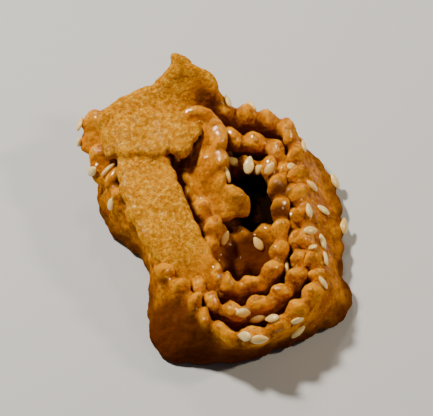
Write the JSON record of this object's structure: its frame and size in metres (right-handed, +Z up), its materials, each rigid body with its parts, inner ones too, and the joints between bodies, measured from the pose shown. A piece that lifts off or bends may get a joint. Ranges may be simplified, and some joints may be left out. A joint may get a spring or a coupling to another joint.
{
  "type": "chebakia pastry",
  "caption": "Rose-shaped fried pastry of fluted dough strips folded one inside another and pinched into a knot, glazed with honey and sprinkled with sesame.",
  "frame": {"origin": "centre of the bounding box's base, on the table", "axes": "+Z up, +X to the right of the pastry seen from its near end, -Y towards the near end, away from the knot"},
  "size_m": [0.045, 0.052, 0.0181],
  "materials": {
    "fried_dough": "glossy",
    "sesame": "satin",
    "honey": "glossy"
  },
  "bodies": {
    "root": {"pastry": "fried_dough"}
  },
  "joints": []
}
